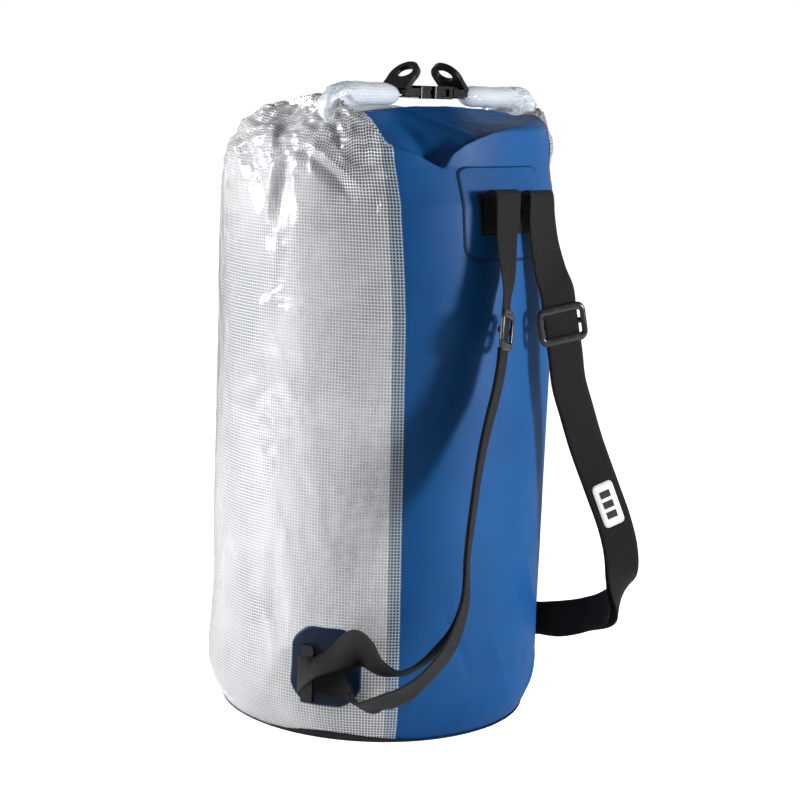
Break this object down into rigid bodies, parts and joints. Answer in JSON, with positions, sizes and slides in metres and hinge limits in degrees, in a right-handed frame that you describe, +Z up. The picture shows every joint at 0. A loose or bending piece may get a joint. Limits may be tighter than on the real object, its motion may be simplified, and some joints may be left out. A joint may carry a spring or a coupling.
{
  "type": "dry bag",
  "caption": "Roll-top dry bag: welded clear mesh and coated fabric tube with a buckled rolled mouth and adjustable shoulder straps with sliders.",
  "frame": {"origin": "centre of the base, on the surface the bag stands on", "axes": "+Z up the bag; the blue back panel and straps face -Y; the rolled mouth runs along X"},
  "size_m": [0.3352, 0.3971, 0.6384],
  "materials": {
    "clear_mesh": "glossy clear coating over a white thread grid",
    "blue_fabric": "satin coated",
    "navy_fabric": "satin coated",
    "black_fabric": "satin coated",
    "webbing": "ribbed woven",
    "buckle_plastic": "moulded, semi-gloss",
    "stiffener_plastic": "matte",
    "label": "soft moulded",
    "thread": "twisted"
  },
  "bodies": {
    "bag": {"anchor_stitches": "thread", "back_panel": "blue_fabric", "base_disc": "black_fabric", "buckle_female_half": "buckle_plastic", "clear_mesh_panel": "clear_mesh", "closure_tab_right": "webbing", "left_lower_patch": "navy_fabric", "left_strap_foot_loop": "webbing", "left_strap_keeper": "webbing", "left_strap_sewn_end": "webbing", "mouth_stiffener": "stiffener_plastic", "right_lower_patch": "navy_fabric", "right_strap_foot_loop": "webbing", "right_strap_keeper": "webbing", "right_strap_sewn_end": "webbing", "roll_end_left": "clear_mesh", "roll_end_right": "clear_mesh", "roll_middle": "blue_fabric", "strap_anchor_webbing": "webbing", "upper_patch": "blue_fabric"},
    "buckle_male": {"buckle_male_half": "buckle_plastic", "closure_tab_left": "webbing"},
    "prong_back": {"buckle_prong_back": "buckle_plastic"},
    "prong_front": {"buckle_prong_front": "buckle_plastic"},
    "left_strap": {"left_strap_upper": "webbing", "left_strap_lower": "webbing"},
    "right_strap": {"right_strap_upper": "webbing", "right_strap_lower": "webbing", "strap_label": "label"},
    "left_slider": {"left_slider": "buckle_plastic"},
    "right_slider": {"right_slider": "buckle_plastic"}
  },
  "joints": [
    {"name": "buckle_release", "type": "slide", "parent": "bag", "child": "buckle_male", "axis": [-1, 0, 0], "range_m": [0, 0.028], "deforming": ["roll_end_left", "mouth_stiffener", "buckle_prong_back", "buckle_prong_front"]},
    {"name": "prong_back_squeeze", "type": "hinge", "parent": "buckle_male", "child": "prong_back", "pos_m": [-0.014, -0.0558, 0.61], "axis": [0, 0, 1], "range_deg": [0, 10], "stiffness_Nm_per_rad": 0.2},
    {"name": "prong_front_squeeze", "type": "hinge", "parent": "buckle_male", "child": "prong_front", "pos_m": [-0.014, -0.0362, 0.61], "axis": [0, 0, -1], "range_deg": [0, 10], "stiffness_Nm_per_rad": 0.2},
    {"name": "right_strap_swing", "type": "hinge", "parent": "bag", "child": "right_strap", "pos_m": [0.026, -0.1717, 0.52], "axis": [-0.2746, -0.2227, 0.9354], "range_deg": [-5, 30]},
    {"name": "left_strap_swing", "type": "hinge", "parent": "bag", "child": "left_strap", "pos_m": [-0.026, -0.1717, 0.52], "axis": [-0.2746, 0.2227, -0.9354], "range_deg": [-5, 30]},
    {"name": "right_slider_slide", "type": "slide", "parent": "right_strap", "child": "right_slider", "axis": [0.175, -0.0962, -0.9799], "range_m": [-0.012, 0.012]},
    {"name": "left_slider_slide", "type": "slide", "parent": "left_strap", "child": "left_slider", "axis": [-0.175, -0.0962, -0.9799], "range_m": [-0.012, 0.012]}
  ]
}
